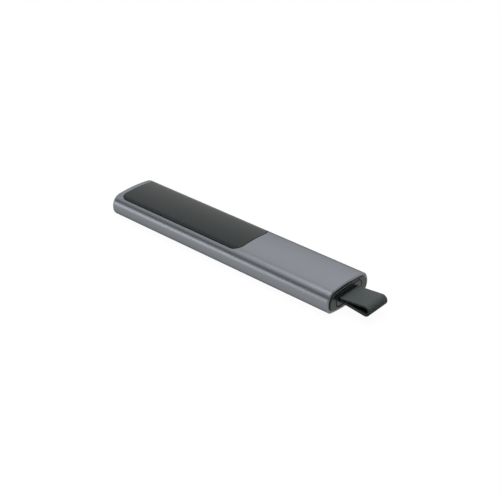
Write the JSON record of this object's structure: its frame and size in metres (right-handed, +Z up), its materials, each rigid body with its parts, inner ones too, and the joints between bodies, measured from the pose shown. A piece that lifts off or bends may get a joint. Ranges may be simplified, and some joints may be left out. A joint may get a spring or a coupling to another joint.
{
  "type": "wireless presentation clicker",
  "caption": "Slim aluminium presentation clicker with a dark back panel, round push buttons underneath, and a plug-in radio receiver stored in its tail on a soft pull tab.",
  "frame": {"origin": "middle of the whole object's length and width, at the height of the lowest line of the button face", "axes": "+X along the body towards the tail and the pull tab, +Y across, +Z up through the dark back panel, so the buttons face -Z"},
  "size_m": [0.1474, 0.0282, 0.0121],
  "materials": {
    "shell_aluminium": "satin anodised, fine bead-blasted grain",
    "button_aluminium": "satin anodised, turned dish",
    "panel_plastic": "soft matte, fine texture",
    "cap_plastic": "matte moulded",
    "inner_plastic": "plain moulded",
    "receiver_plastic": "matte moulded",
    "tab_rubber": "soft matte",
    "seal_rubber": "translucent grey silicone",
    "foam_tape": "foam tape",
    "steel": "stamped, nickel plated",
    "contact_gold": "gold flashed",
    "board_laminate": "solder mask",
    "chip_epoxy": "moulded epoxy",
    "connector_nylon": "moulded nylon",
    "light_clear": "clear moulded",
    "cell_foil": "laminated foil pouch",
    "lead_insulation": "silicone insulation",
    "white_plastic": "moulded"
  },
  "bodies": {
    "clicker": {"housing": "shell_aluminium", "back_panel": "panel_plastic", "panel_adhesive": "foam_tape", "end_cap": "cap_plastic", "receiver_bay": "inner_plastic", "bay_springs": "steel", "chassis": "inner_plastic", "board_screws": "steel", "main_board": "board_laminate", "button_gasket": "seal_rubber", "switch_housings": "chip_epoxy", "status_led": "light_clear", "light_pipe": "light_clear", "antenna": "steel", "shield_can": "steel", "radio_chip": "chip_epoxy", "crystal": "steel", "motion_sensor": "chip_epoxy", "battery_connector": "connector_nylon", "charger_chip": "chip_epoxy", "motor_pad": "foam_tape", "haptic_motor": "steel", "battery_tape": "foam_tape", "battery_cell": "cell_foil", "battery_circuit": "board_laminate", "battery_leads": "lead_insulation", "usb_c_shell": "steel", "usb_c_tongue": "chip_epoxy", "usb_c_contacts": "contact_gold"},
    "pointer": {"pointer_button": "button_aluminium", "pointer_plunger": "white_plastic"},
    "next": {"next_button": "button_aluminium", "next_plunger": "white_plastic"},
    "back": {"back_button": "button_aluminium", "back_plunger": "white_plastic"},
    "receiver": {"receiver_body": "receiver_plastic", "receiver_collar": "receiver_plastic", "plug_shell": "steel", "plug_tongue": "white_plastic", "plug_contacts": "contact_gold", "receiver_board": "board_laminate", "receiver_chip": "chip_epoxy", "pull_tab": "tab_rubber"}
  },
  "joints": [
    {"name": "pointer_press", "type": "slide", "parent": "clicker", "child": "pointer", "axis": [0, 0, 1], "range_m": [0, 0.0003], "stiffness_N_per_m": 3000, "springref_m": -0.0002},
    {"name": "next_press", "type": "slide", "parent": "clicker", "child": "next", "axis": [0, 0, 1], "range_m": [0, 0.0003], "stiffness_N_per_m": 3000, "springref_m": -0.0002},
    {"name": "back_press", "type": "slide", "parent": "clicker", "child": "back", "axis": [0, 0, 1], "range_m": [0, 0.0003], "stiffness_N_per_m": 3000, "springref_m": -0.0002},
    {"name": "receiver_slide", "type": "slide", "parent": "clicker", "child": "receiver", "axis": [1, 0, 0], "range_m": [0, 0.026]}
  ]
}
